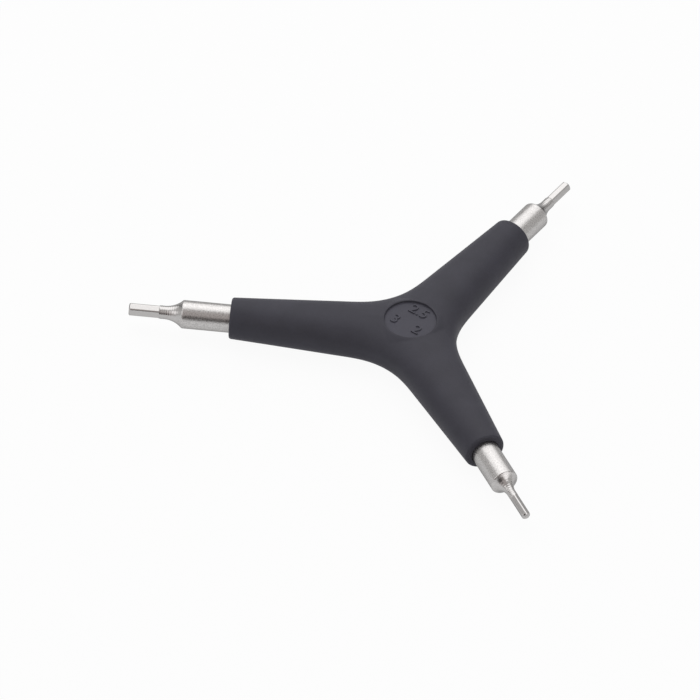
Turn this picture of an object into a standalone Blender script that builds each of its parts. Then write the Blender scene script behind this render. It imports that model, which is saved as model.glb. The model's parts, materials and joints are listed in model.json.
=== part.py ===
"""Y-shaped hex key with three sizes of hexagon, in metres with +Z up.

Three steel bits sit in keyed sockets of a rigid Y core, and a soft grip skin covers the core. The arms lie
in one level plane, a third of a turn apart. The origin is the middle of the flat land under the hub, on which
the key lies.
"""

import math
from dataclasses import dataclass

import bmesh
import bpy
from mathutils import Matrix, Vector

# Grip skin: hub, arms and mouths, with its middle a little higher than the axes of the bits
HANDLE_HALF_HEIGHT = 0.00555
CROTCH_RADIUS = 0.01165
ARM_ROOT_REACH = 0.0183
ARM_ROOT_HALF_WIDTH = 0.0072
MOUTH_SIDE_WALL = 0.0013
MOUTH_TOP_WALL = 0.0012
RIM_RADIUS = 0.0006
REST_LAND_DEPTH = 0.0003
RISE_ABOVE_BITS = 0.0002
RECESS_DIAMETER = 0.0128
RECESS_DEPTH = 0.0006
SKIN_UNDER_RECESS = 0.0006
PAD_MARGIN = 0.0004
PAD_SIDE_RUN = 0.00255
PAD_SLOPE = math.radians(28.5)

# Superellipse exponents of the sections: 2 is an ellipse, and more is squarer
HUB_EXPONENT = 2.75
ARM_ROOT_EXPONENT = 2.25
MOUTH_EXPONENT = 2.05

# How full the curves from hub to arm are, and how soon away from the hub's middle they cross the plane
# between two arms squarely
BLEND_FULLNESS = 1.08
MIDDLE_EASE = 4.0

# Core, and how far the grip runs on past it over the shanks
CORE_REACH = 0.0325
SHANK_COVER = 0.0114
MOULD_GAP = 0.0003

# Steel bits: what all three share
SHANK_DIAMETER = 0.0070
TIP_CHAMFER = 0.00035
RUNOUT_LENGTH = 0.0004
TANG_INNER_REACH = 0.0093
TANG_FLATS = 0.0040
TANG_CORNER_RISE = 0.00025
TANG_RELIEF = 0.0006
GROOVE_DEPTH = 0.0003
GROOVE_WIDTH = 0.0016
GROOVE_SETBACK = 0.0030

# Steel bits: what the 3 mm bit has to itself
SHANK_EXPOSED_3MM = 0.0118
FLARE_RADIUS_3MM = 0.0063
ACROSS_FLATS_3MM = 0.0030
CORNER_RISE_3MM = 0.00015
HEX_LENGTH_3MM = 0.0073
NECK_LENGTH_3MM = 0.00145

# Steel bits: what the 2.5 mm bit has to itself
SHANK_EXPOSED_2_5MM = 0.0100
FLARE_RADIUS_2_5MM = 0.0053
ACROSS_FLATS_2_5MM = 0.0025
CORNER_RISE_2_5MM = 0.000125
HEX_LENGTH_2_5MM = 0.0071
NECK_LENGTH_2_5MM = 0.00182

# Steel bits: what the 2 mm bit has to itself
SHANK_EXPOSED_2MM = 0.0112
FLARE_RADIUS_2MM = 0.0045
ACROSS_FLATS_2MM = 0.0020
CORNER_RISE_2MM = 0.00010
HEX_LENGTH_2MM = 0.0068
NECK_LENGTH_2MM = 0.00196

# Finishes: colour, roughness and metallic value
GRIP_RUBBER = ((0.055, 0.053, 0.062), 0.62, 0.0)
CORE_PLASTIC = ((0.030, 0.030, 0.032), 0.50, 0.0)
SATIN_STEEL = ((0.62, 0.60, 0.57), 0.32, 1.0)


@dataclass
class Bit:
    """One arm's steel bit: its place round the hub, its bare shank, and the sizes of its own hexagon.

    The corners are turned down to stand corner_rise above the flats, as the neck does. At a corner_roll of 0
    one corner points straight up, and a positive roll turns it by the right-hand rule about the outward arm.
    """

    name: str
    arm_angle: float
    shank_exposed: float
    flare_radius: float
    across_flats: float
    corner_rise: float
    hex_length: float
    neck_length: float
    corner_roll: float


BITS = (
    Bit(
        name="hex_bit_3mm",
        arm_angle=math.radians(180),
        shank_exposed=SHANK_EXPOSED_3MM,
        flare_radius=FLARE_RADIUS_3MM,
        across_flats=ACROSS_FLATS_3MM,
        corner_rise=CORNER_RISE_3MM,
        hex_length=HEX_LENGTH_3MM,
        neck_length=NECK_LENGTH_3MM,
        corner_roll=math.radians(13),
    ),
    Bit(
        name="hex_bit_2_5mm",
        arm_angle=math.radians(60),
        shank_exposed=SHANK_EXPOSED_2_5MM,
        flare_radius=FLARE_RADIUS_2_5MM,
        across_flats=ACROSS_FLATS_2_5MM,
        corner_rise=CORNER_RISE_2_5MM,
        hex_length=HEX_LENGTH_2_5MM,
        neck_length=NECK_LENGTH_2_5MM,
        corner_roll=math.radians(30),
    ),
    Bit(
        name="hex_bit_2mm",
        arm_angle=math.radians(-60),
        shank_exposed=SHANK_EXPOSED_2MM,
        flare_radius=FLARE_RADIUS_2MM,
        across_flats=ACROSS_FLATS_2MM,
        corner_rise=CORNER_RISE_2MM,
        hex_length=HEX_LENGTH_2MM,
        neck_length=NECK_LENGTH_2MM,
        corner_roll=math.radians(5),
    ),
)

# Fineness of the faceted surfaces
GRIP_SIDES = 28
CORE_SIDES = 20
BLEND_STEPS = 6
ARM_STEPS = 4
RIM_STEPS = 3
TURN_STEPS = 36
FLARE_STEPS = 6
RECESS_STEPS = 48
HEX_SIDES = 6
WELD_DISTANCE = 1e-7
SMOOTH_ANGLE = math.radians(35)

# How far a cutter runs past the surface that it cuts
OVERCUT = 0.001

# Places and radii that follow from the sizes above
MIDDLE_HEIGHT = HANDLE_HALF_HEIGHT - REST_LAND_DEPTH
AXIS_HEIGHT = MIDDLE_HEIGHT - RISE_ABOVE_BITS
SEAT_REACH = CORE_REACH + MOULD_GAP
MOUTH_REACH = SEAT_REACH + SHANK_COVER
SHANK_RADIUS = SHANK_DIAMETER / 2
BORE_RADIUS = SHANK_RADIUS + MOULD_GAP
MOUTH_HALF_WIDTH = BORE_RADIUS + MOUTH_SIDE_WALL
MOUTH_HALF_HEIGHT = BORE_RADIUS + MOUTH_TOP_WALL
PAD_RADIUS = RECESS_DIAMETER / 2 + PAD_MARGIN
SKIN_WALL = RECESS_DEPTH + SKIN_UNDER_RECESS
CORE_INSET = SKIN_WALL + MOULD_GAP
TANG_LENGTH = SEAT_REACH - TANG_INNER_REACH
TANG_RADIUS = TANG_FLATS / 2 + TANG_CORNER_RISE
GROOVE_RADIUS = TANG_FLATS / 2 - GROOVE_DEPTH
CLEAR_RADIUS = 2 * max(SHANK_RADIUS, TANG_RADIUS)
HALF_ARM_SPACING = math.pi / len(BITS)


def clear_scene():
    for thing in list(bpy.data.objects):
        bpy.data.objects.remove(thing, do_unlink=True)


def add_object(name, mesh):
    thing = bpy.data.objects.new(name, mesh)
    bpy.context.collection.objects.link(thing)
    return thing


def give_finish(piece, colour, roughness, metallic):
    """Give a piece a material of its own, and shade it smooth between its sharp edges."""
    material = bpy.data.materials.new(piece.name + "_finish")
    material.use_nodes = True
    shader = material.node_tree.nodes["Principled BSDF"]
    shader.inputs["Base Color"].default_value = (*colour, 1.0)
    shader.inputs["Roughness"].default_value = roughness
    shader.inputs["Metallic"].default_value = metallic
    piece.data.materials.append(material)
    piece.data.shade_smooth()
    piece.data.set_sharp_from_angle(angle=SMOOTH_ANGLE)


def combine(target, operation, tools):
    """Cut, or keep what is shared, with each tool in turn, then fix the result as the target's own mesh."""
    for tool in tools:
        tool.hide_render = True
        tool.display_type = "WIRE"
        boolean = target.modifiers.new(tool.name, "BOOLEAN")
        boolean.operation = operation
        boolean.solver = "EXACT"
        boolean.object = tool
    evaluated = target.evaluated_get(bpy.context.evaluated_depsgraph_get())
    target.data = bpy.data.meshes.new_from_object(evaluated)
    target.modifiers.clear()
    for tool in tools:
        bpy.data.objects.remove(tool, do_unlink=True)


def turned(name, outline, steps):
    """Solid turned about its own Z from (radius, height) points, outer end first, both ends on the axis."""
    mesh = bpy.data.meshes.new(name)
    points = [(radius, 0.0, height) for radius, height in outline]
    mesh.from_pydata(points, [(i, i + 1) for i in range(len(points) - 1)], [])
    solid = add_object(name, mesh)
    screw = solid.modifiers.new("turn", "SCREW")
    screw.axis = "Z"
    screw.angle = math.tau
    screw.steps = steps
    screw.render_steps = steps
    screw.use_merge_vertices = True
    screw.merge_threshold = WELD_DISTANCE
    return solid


def hexagonal(name, outline):
    """Like turned, with six flats at the outline's radii."""
    corner = 1 / math.cos(math.pi / HEX_SIDES)
    return turned(name, [(flat * corner, height) for flat, height in outline], HEX_SIDES)


def section_point(angle, exponent):
    """Point of a unit superellipse as (side, up), with angle 0 straight up."""
    side, up = math.sin(angle), math.cos(angle)
    power = 2 / exponent
    return math.copysign(abs(side) ** power, side), math.copysign(abs(up) ** power, up)


def arm_section(reach, inset, sides):
    """Closed ring round an arm's axis at a distance from the hub axis, drawn in by an inset."""
    share = (MOUTH_REACH - reach) / (MOUTH_REACH - ARM_ROOT_REACH)
    half_width = MOUTH_HALF_WIDTH + share * (ARM_ROOT_HALF_WIDTH - MOUTH_HALF_WIDTH) - inset
    half_height = MOUTH_HALF_HEIGHT + share * (HANDLE_HALF_HEIGHT - MOUTH_HALF_HEIGHT) - inset
    exponent = MOUTH_EXPONENT + share * (ARM_ROOT_EXPONENT - MOUTH_EXPONENT)
    ring = []
    for i in range(sides):
        side, up = section_point(math.tau * i / sides, exponent)
        ring.append(Vector((reach, half_width * side, half_height * up)))
    return ring


def hub_section(inset, sides):
    """Ring where an arm meets its two neighbours, and the direction in which the arm's surface leaves it."""
    outward, across = math.cos(HALF_ARM_SPACING), math.sin(HALF_ARM_SPACING)
    ring, leaving = [], []
    for i in range(sides):
        side, up = section_point(math.tau * i / sides, HUB_EXPONENT)
        spread = (CROTCH_RADIUS - inset) * side
        height = (HANDLE_HALF_HEIGHT - inset) * up
        ring.append(Vector((abs(spread) * outward, spread * across, height)))
        turn_in = math.copysign(min(1.0, MIDDLE_EASE * abs(side)), side)
        leaving.append(Vector((across, -turn_in * outward, 0.0)))
    return ring, leaving


def blend_point(start, start_slope, end, end_slope, share):
    """Point of a smooth curve that leaves start and reaches end along the given slopes."""
    square, cube = share**2, share**3
    return (
        start * (2 * cube - 3 * square + 1)
        + start_slope * (cube - 2 * square + share)
        + end * (3 * square - 2 * cube)
        + end_slope * (cube - square)
    )


def arm_rings(reach, inset, rim_radius, sides):
    """Rings of one arm along +X, from the hub to its end, which may have a rounded rim."""
    hub_ring, hub_slopes = hub_section(inset, sides)
    root_ring = arm_section(ARM_ROOT_REACH, inset, sides)
    end_ring = arm_section(reach, inset, sides)
    rings = []
    for step in range(BLEND_STEPS):
        ring = []
        for hub, slope, root, end in zip(hub_ring, hub_slopes, root_ring, end_ring):
            pull = BLEND_FULLNESS * (root - hub).length
            run = (end - root) / (reach - ARM_ROOT_REACH)
            ring.append(blend_point(hub, slope * pull, root, run * pull, step / BLEND_STEPS))
        rings.append(ring)
    straight = reach - rim_radius - ARM_ROOT_REACH
    for step in range(ARM_STEPS + 1):
        rings.append(arm_section(ARM_ROOT_REACH + straight * step / ARM_STEPS, inset, sides))
    rim_steps = RIM_STEPS if rim_radius else 0
    for step in range(1, rim_steps + 1):
        turn = math.pi / 2 * step / rim_steps
        rim_reach = reach - rim_radius * (1 - math.sin(turn))
        rim_inset = inset + rim_radius * (1 - math.cos(turn))
        rings.append(arm_section(rim_reach, rim_inset, sides))
    return rings


def y_form(name, reach, inset, rim_radius, sides, land_height=None):
    """Closed Y of three arms, smooth across the hub, with a flat land underneath where a height is given."""
    shape = bmesh.new()
    for bit in BITS:
        place = Matrix.Translation((0, 0, MIDDLE_HEIGHT)) @ Matrix.Rotation(bit.arm_angle, 4, "Z")
        rings = []
        for ring in arm_rings(reach, inset, rim_radius, sides):
            rings.append([shape.verts.new(place @ point) for point in ring])
        for inner, outer in zip(rings, rings[1:]):
            for i in range(sides):
                shape.faces.new((inner[i - 1], inner[i], outer[i], outer[i - 1]))
        shape.faces.new(rings[-1])
    bmesh.ops.remove_doubles(shape, verts=shape.verts, dist=WELD_DISTANCE)
    if land_height is not None:
        cut = bmesh.ops.bisect_plane(
            shape,
            geom=shape.verts[:] + shape.edges[:] + shape.faces[:],
            plane_co=(0, 0, land_height),
            plane_no=(0, 0, -1),
            clear_outer=True,
        )
        edges = [part for part in cut["geom_cut"] if isinstance(part, bmesh.types.BMEdge)]
        bmesh.ops.holes_fill(shape, edges=edges)
    bmesh.ops.recalc_face_normals(shape, faces=shape.faces)
    mesh = bpy.data.meshes.new(name)
    shape.to_mesh(mesh)
    shape.free()
    return add_object(name, mesh)


def place_on_arm(thing, bit):
    """Lay a turned solid along its arm, with its height 0 on the seat and its hexagon at the bit's roll."""
    thing.matrix_world = (
        Matrix.Rotation(bit.arm_angle, 4, "Z")
        @ Matrix.Translation((SEAT_REACH, 0, AXIS_HEIGHT))
        @ Matrix.Rotation(math.pi / 2, 4, "Y")
        @ Matrix.Rotation(bit.corner_roll, 4, "Z")
    )


def tang_outline(grow):
    """Tang from the seat inwards with its ring groove, larger all round by grow."""
    tang_radius = TANG_RADIUS + grow
    groove_radius = GROOVE_RADIUS + grow
    groove_inner = -TANG_LENGTH + GROOVE_SETBACK + grow
    groove_outer = -TANG_LENGTH + GROOVE_SETBACK + GROOVE_WIDTH - grow
    tang_end = -TANG_LENGTH - grow
    return [
        (tang_radius, groove_outer),
        (groove_radius, groove_outer),
        (groove_radius, groove_inner),
        (tang_radius, groove_inner),
        (tang_radius, tang_end),
        (0.0, tang_end),
    ]


def tang_flats(grow):
    """Outline of the flats that key the tang, clear of everything nearer the seat."""
    flat = TANG_FLATS / 2 + grow
    flats_start = -TANG_RELIEF - grow
    flats_end = -TANG_LENGTH - grow - OVERCUT
    return [(CLEAR_RADIUS, flats_start), (flat, flats_start), (flat, flats_end), (0.0, flats_end)]


def make_bit(bit):
    """Steel bit: chamfered hexagon running out into a round neck, hollow flare, shank and keyed tang."""
    flat = bit.across_flats / 2
    neck_radius = flat + bit.corner_rise
    flare_angle = math.acos(1 - (SHANK_RADIUS - neck_radius) / bit.flare_radius)
    neck_start = SHANK_COVER + bit.shank_exposed + bit.flare_radius * math.sin(flare_angle)
    hex_start = neck_start + bit.neck_length
    tip = hex_start + bit.hex_length
    outline = [(0.0, tip), (neck_radius - TIP_CHAMFER, tip), (neck_radius, tip - TIP_CHAMFER)]
    for step in range(FLARE_STEPS + 1):
        angle = flare_angle * step / FLARE_STEPS
        radius = neck_radius + bit.flare_radius * (1 - math.cos(angle))
        outline.append((radius, neck_start - bit.flare_radius * math.sin(angle)))
    outline += [(SHANK_RADIUS, 0.0), (TANG_RADIUS, 0.0)]
    solid = turned(bit.name, outline + tang_outline(0.0), TURN_STEPS)
    flats = [
        (0.0, tip + OVERCUT),
        (flat, tip + OVERCUT),
        (flat, hex_start),
        (neck_radius + bit.corner_rise, hex_start - RUNOUT_LENGTH),
        (CLEAR_RADIUS, hex_start - RUNOUT_LENGTH),
    ]
    hexagon = hexagonal(bit.name + "_flats", flats + tang_flats(0.0))
    combine(solid, "INTERSECT", [hexagon])
    place_on_arm(solid, bit)
    give_finish(solid, *SATIN_STEEL)
    return solid


def socket_tool(bit):
    """Room for a bit's tang in the core, open at the seat."""
    outline = [(0.0, OVERCUT), (TANG_RADIUS + MOULD_GAP, OVERCUT)]
    tool = turned(bit.name + "_socket", outline + tang_outline(MOULD_GAP), TURN_STEPS)
    flats = [(0.0, 2 * OVERCUT), (CLEAR_RADIUS, 2 * OVERCUT)]
    hexagon = hexagonal(bit.name + "_key", flats + tang_flats(MOULD_GAP))
    combine(tool, "INTERSECT", [hexagon])
    place_on_arm(tool, bit)
    return tool


def bore_tool(bit):
    """Round way for a shank from the end of the core out through the mouth of the grip."""
    outer, inner = SHANK_COVER + OVERCUT, -MOULD_GAP
    outline = [(0.0, outer), (BORE_RADIUS, outer), (BORE_RADIUS, inner), (0.0, inner)]
    tool = turned(bit.name + "_bore", outline, TURN_STEPS)
    place_on_arm(tool, bit)
    return tool


def hub_pad():
    """Flat round pad with sloping sides on top of the hub, which carries the recess across the valleys."""
    top = MIDDLE_HEIGHT + HANDLE_HALF_HEIGHT
    foot_radius = PAD_RADIUS + PAD_SIDE_RUN
    foot = top - PAD_SIDE_RUN * math.tan(PAD_SLOPE)
    outline = [
        (0.0, top),
        (PAD_RADIUS, top),
        (foot_radius, foot),
        (foot_radius, MIDDLE_HEIGHT),
        (0.0, MIDDLE_HEIGHT),
    ]
    return turned("hub_pad", outline, RECESS_STEPS)


def recess_tool():
    """Round shallow recess in the top of the hub."""
    radius = RECESS_DIAMETER / 2
    top = MIDDLE_HEIGHT + HANDLE_HALF_HEIGHT
    floor = top - RECESS_DEPTH
    outline = [(0.0, top + OVERCUT), (radius, top + OVERCUT), (radius, floor), (0.0, floor)]
    return turned("hub_recess", outline, RECESS_STEPS)


def make_core():
    """Rigid Y core with a keyed and ribbed socket in each arm."""
    core = y_form("handle_core", CORE_REACH, CORE_INSET, 0.0, CORE_SIDES)
    combine(core, "DIFFERENCE", [socket_tool(bit) for bit in BITS])
    give_finish(core, *CORE_PLASTIC)
    return core


def make_grip():
    """Soft skin over the core: hollow Y with a mouth round each shank, the recessed pad and the rest land."""
    grip = y_form("grip", MOUTH_REACH, 0.0, RIM_RADIUS, GRIP_SIDES, land_height=0.0)
    combine(grip, "UNION", [hub_pad()])
    cavity = y_form("core_cavity", SEAT_REACH, SKIN_WALL, 0.0, CORE_SIDES)
    combine(grip, "DIFFERENCE", [cavity, recess_tool()] + [bore_tool(bit) for bit in BITS])
    give_finish(grip, *GRIP_RUBBER)
    return grip


def main():
    clear_scene()
    key = add_object("hex_key", None)
    for piece in [make_grip(), make_core()] + [make_bit(bit) for bit in BITS]:
        piece.parent = key


main()
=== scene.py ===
"""Looks of a y-shaped hex key: a fine soft grip, three steel bits, their finishes and a white studio.

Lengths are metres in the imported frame: +Z up, the origin in the middle of the land under the hub, and the
axes of the three arms in one level plane. An arm's own frame has X outwards along its axis.
"""

import json
import math
from dataclasses import dataclass

import bmesh
import bpy
import numpy as np
from bpy.props import FloatProperty, FloatVectorProperty, PointerProperty
from mathutils import Matrix, Vector
from mathutils.bvhtree import BVHTree


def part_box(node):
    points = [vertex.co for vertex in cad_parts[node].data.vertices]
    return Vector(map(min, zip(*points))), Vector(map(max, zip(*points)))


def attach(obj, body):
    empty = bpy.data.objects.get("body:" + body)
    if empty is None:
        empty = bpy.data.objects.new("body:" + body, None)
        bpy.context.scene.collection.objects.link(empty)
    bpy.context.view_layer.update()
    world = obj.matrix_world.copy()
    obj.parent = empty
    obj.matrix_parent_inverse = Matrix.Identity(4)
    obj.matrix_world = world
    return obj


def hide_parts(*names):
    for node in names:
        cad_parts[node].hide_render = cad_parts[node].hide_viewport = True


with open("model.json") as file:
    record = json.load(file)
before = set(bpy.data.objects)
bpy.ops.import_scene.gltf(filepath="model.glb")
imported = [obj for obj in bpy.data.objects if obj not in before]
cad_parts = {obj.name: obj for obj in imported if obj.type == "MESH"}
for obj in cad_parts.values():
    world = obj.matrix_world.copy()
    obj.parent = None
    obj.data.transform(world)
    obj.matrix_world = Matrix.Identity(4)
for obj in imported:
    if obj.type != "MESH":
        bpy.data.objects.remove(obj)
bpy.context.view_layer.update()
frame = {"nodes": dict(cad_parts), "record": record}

bl_info = {
    "name": "Y-shaped Hex Key",
    "version": (1, 0, 0),
    "blender": (4, 5, 0),
    "location": "3D Viewport > Sidebar > Hex Key",
    "description": "Makes the fine grip, steel bits, finishes and studio round the packed hex key",
    "category": "Object",
}

BODY = "root"

# The arms in order: the bit's node, the mount on the end of its hexagon and its size number
BIT_NODES = ("hex_bit_3mm", "hex_bit_2_5mm", "hex_bit_2mm")
BIT_MOUNTS = ("hex_3mm_end", "hex_2_5mm_end", "hex_2mm_end")
SIZE_NUMBERS = ("3", "2.5", "2")

# The arm that points away from whoever reads the numbers
UPRIGHT_ARM = 1

# What the frame says of the arms
MOUNT_PLACES = {mount["name"]: Vector(mount["pos_m"]) for mount in frame["record"]["mounts"]}
ARM_ENDS = [MOUNT_PLACES[name] for name in BIT_MOUNTS]
ARM_ANGLES = [math.atan2(end.y, end.x) for end in ARM_ENDS]
TIP_REACHES = [math.hypot(end.x, end.y) for end in ARM_ENDS]
AXIS_HEIGHT = ARM_ENDS[0].z
HALF_ARM_SPACING = math.pi / len(ARM_ENDS)
MOUTH_REACH = -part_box("grip")[0].x

# Fineness of the grip: points round a section, and rings along each stretch
GRIP_SIDES = 192
BLEND_RINGS = 44
ARM_RINGS = 24
RIM_RINGS = 7
FACE_RINGS = 3
BORE_EDGE_RINGS = 4
BORE_RINGS = 6
CAVITY_BLEND_RINGS = 14
CAVITY_ARM_RINGS = 8

# The tool that cuts the recess: its fineness, how far its lip turns over and how far it runs past the skin
RECESS_SIDES = 192
FILLET_RINGS = 5
LIP_SWEEP = math.radians(65)
LIP_OVERRUN = 0.0006
TOOL_HEADROOM = 0.002

# A low recess wall gives at most one part in three to its fillet, and one in two to its lip
FILLET_PARTS = 3
LIP_PARTS = 2

# Points closer than this are joined, and edges sharper than this stay sharp
WELD_DISTANCE = 1e-6
SMOOTH_ANGLE = math.radians(38)

# Fineness of a bit: angles from a hexagon's corner to the middle of its flat, and rings along each stretch
CORNER_STEPS = [math.radians(step) for step in (0, 2, 4, 5.4, 6.8, 9, 13, 18, 24, 30)]
HEX_CORNERS = 6
CHAMFER_RINGS = 8
HEX_RINGS = 10
RUNOUT_RINGS = 16
NECK_RINGS = 26
FLARE_RINGS = 96
SHOULDER_RINGS = 8
SHANK_RINGS = 16
TANG_RINGS = 3

# Half width across flats where a bit is round, larger than any bit
NO_FLATS = 1.0

# How far the flats open over their run-out, in heights of a corner above a flat; past 1 they are gone
RUNOUT_OPENING = 2

# Turning centre in a tip, from its bottom up: shares of its depth and of its radius
DIMPLE_OUTLINE = ((1.0, 0.25), (0.25, 0.8), (0.0, 1.0))

# Rubber's colour: width of its bloom, specks in grains and their weight, the recess floor's painted light,
# and the shades that they make
BLOOM_WIDTH = 0.006
SPECK_GRAINS = 2
SPECK_WEIGHT = 0.5
MOTTLE_RANGE = (0.45, 1.05)
MOTTLE_TONES = (0.0, 0.4)
# Painted light: the recess floor's colour is made lighter to stand in for its sheen and to offset the shade
# of its wall
RECESS_PAINTED_LIGHT = 0.55
RUBBER_SHADES = (0.86, 1.56)

# Rubber's gloss: swing of its roughness, how much less it is in the recess, and how much the rubber mirrors
RUBBER_PATCHES = 0.05
RECESS_SMOOTHER = 0.05
RUBBER_SPECULAR = 0.3

# Strength of the rubber's grain on the grip and in the recess
RUBBER_BUMPS = (0.55, 0.30)

# Steel: speckle of the blasted grain, tones of shank and hexagon with the hexagon's painted shade, the
# shades that they make, and roughness
SPECKLE_RANGE = (0.3, 0.7)
SPECKLE_TONE = 0.5
HEXAGON_SPECKLE = 0.2
BRIGHT_RANGE = (0.8, 1.0)
# Painted shade: the hexagon's colour is darker than the shank's, though the plating is the same, to dim its
# mirrored highlights
HEXAGON_PAINTED_DIM_TONES = (0.5, 0.40)
STEEL_SHADES = (0.75, 1.25)
STEEL_PATCHES = 0.10
STEEL_BUMP = 0.5

# Turning lines: the period of a wave texture at scale 1, how far the lines waver and how deep they are
WAVE_PERIOD = math.pi / 10
LINE_WAVER = 0.6
LINE_WEIGHT = 0.3

# Core: width of its flow marks in grains, its shades, the swing of its roughness and its relief
FLOW_GRAINS = 6
CORE_SHADES = (0.8, 1.25)
CORE_PATCHES = 0.06
CORE_BUMP = 0.3

# Fineness of the floor and of the cloths round it, and the clouds on the cloths
FLOOR_SIDES = 96
CLOTH_STEPS = 32
CLOUD_WIDTH = 0.3
CLOUD_SHADES = (0.9, 1.1)

# How far the camera sees, in its own distances from the hub
SIGHT_DISTANCES = 4


@dataclass
class Cloth:
    """Glowing cloth on a ball round the key.

    Its middle and half turn are degrees round from the front, and its low and high edges degrees upwards.
    """

    name: str
    radius: float
    middle: float
    half_turn: float
    low: float
    high: float
    strength: float
    colour: tuple


# What the steel mirrors: an even tent, and cards in front of it
CLOTHS = (
    Cloth("light_tent", 1.70, 180, 180, 1, 88, 1.0, (0.66, 0.65, 0.64)),
    Cloth("dim_front", 1.65, 0, 45, 1, 87, 1.0, (0.55, 0.505, 0.49)),
    Cloth("dark_card", 1.60, 0, 20, 1, 34, 1.0, (0.05, 0.042, 0.04)),
    Cloth("right_card", 1.60, 52, 20, 6, 54, 1.9, (1.0, 0.96, 0.95)),
    Cloth("left_card", 1.60, -66, 17, 20, 50, 1.7, (1.0, 0.95, 0.94)),
    Cloth("back_flag", 1.60, 172, 20, 1, 11, 1.0, (0.55, 0.55, 0.55)),
    Cloth("left_flag", 1.60, -130, 18, 0, 14, 1.0, (0.10, 0.10, 0.10)),
    Cloth("right_flag", 1.60, 134, 16, 0, 18, 1.0, (0.25, 0.24, 0.24)),
)


def length(name, description, default):
    """Length property in metres."""
    return FloatProperty(
        name=name, description=description, default=default, min=0.0, precision=5, unit="LENGTH"
    )


def bit_lengths(name, description, default):
    """Three lengths in metres, one for each bit."""
    return FloatVectorProperty(
        name=name, description=description, default=default, size=3, precision=5, unit="LENGTH"
    )


def share(name, description, default, most=1.0):
    """Plain number property."""
    return FloatProperty(name=name, description=description, default=default, min=0.0, max=most)


def angle(name, description, degrees):
    """Angle property, given in degrees and kept in radians."""
    return FloatProperty(name=name, description=description, default=math.radians(degrees), subtype="ANGLE")


def colour(name, description, default):
    """Linear colour property."""
    return FloatVectorProperty(
        name=name, description=description, default=default, size=3, min=0.0, max=1.0, subtype="COLOR"
    )


class HexKeyGrip(bpy.types.PropertyGroup):
    """Sizes and finish of the soft grip."""

    half_height: length("Half height", "Height of hub and arm roots above the grip's middle", 0.00555)
    rise: length("Rise", "The grip's middle above the axes of the bits", 0.0002)
    crotch_radius: length("Crotch radius", "From the hub axis to the valley between two arms", 0.01165)
    root_reach: length("Arm root reach", "From the hub axis to where an arm runs straight", 0.0183)
    root_half_width: length("Arm root half width", "Half width of an arm at its root", 0.0072)
    mouth_reach: length("Mouth reach", "From the hub axis to the end of an arm", MOUTH_REACH)
    mouth_half_width: length("Mouth half width", "Half width of an arm at its mouth", 0.0051)
    mouth_half_height: length("Mouth half height", "Half height of an arm at its mouth", 0.0050)
    rim_radius: length("Rim radius", "Round of the outer edge at the mouth", 0.0006)
    bore_edge: length("Bore edge radius", "Round of the inner edge at the mouth", 0.00022)
    bore_clearance: length("Bore clearance", "Between the mouth and the shank", 0.00002)
    skin_wall: length("Skin wall", "Thickness of the skin over the core", 0.0012)
    land_softness: length("Land softness", "How softly the land underneath runs into the arms", 0.00005)
    hub_exponent: share("Hub squareness", "Superellipse exponent between two arms", 2.75, 6.0)
    root_exponent: share("Arm root squareness", "Superellipse exponent at the arm root", 2.25, 6.0)
    mouth_exponent: share("Mouth squareness", "Superellipse exponent at the mouth", 2.05, 6.0)
    blend_fullness: share("Blend fullness", "How full the curves from hub to arm are", 1.08, 3.0)
    middle_ease: share("Middle ease", "How soon the skin crosses squarely between two arms", 4.0, 20.0)
    pad_radius: length("Pad radius", "Flat pad round the recess in the top of the hub", 0.0068)
    pad_edge: length("Pad edge", "How softly the pad's top runs into its sides", 0.0003)
    pad_slope: angle("Pad slope", "Fall of the pad's sides", 28.5)
    pad_reach: length("Pad reach", "From the hub axis to where the pad's sides are buried", 0.00935)
    recess_radius: length("Recess radius", "Round recess in the top of the hub", 0.0064)
    recess_depth: length("Recess depth", "From the top of the hub to the recess floor", 0.0006)
    recess_fillet: length("Recess fillet", "Round between the recess floor and its wall", 0.00012)
    recess_lip: length("Recess lip", "Round of the recess's upper edge", 0.00020)
    mark_height: length("Mark height", "Height of the size numbers", 0.0042)
    mark_relief: length("Mark relief", "How far the size numbers stand up from the recess floor", 0.00024)
    mark_reach: length("Mark reach", "From the hub axis to the middle of a size number", 0.0037)
    colour: colour("Rubber colour", "Linear colour of the soft rubber", (0.0412, 0.0398, 0.0550))
    roughness: share("Rubber roughness", "Roughness of the soft rubber", 0.60)
    grain: length("Rubber grain", "Width of the moulded grain", 0.00024)
    grain_depth: length("Grain depth", "Depth of the moulded grain", 0.00003)


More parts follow.
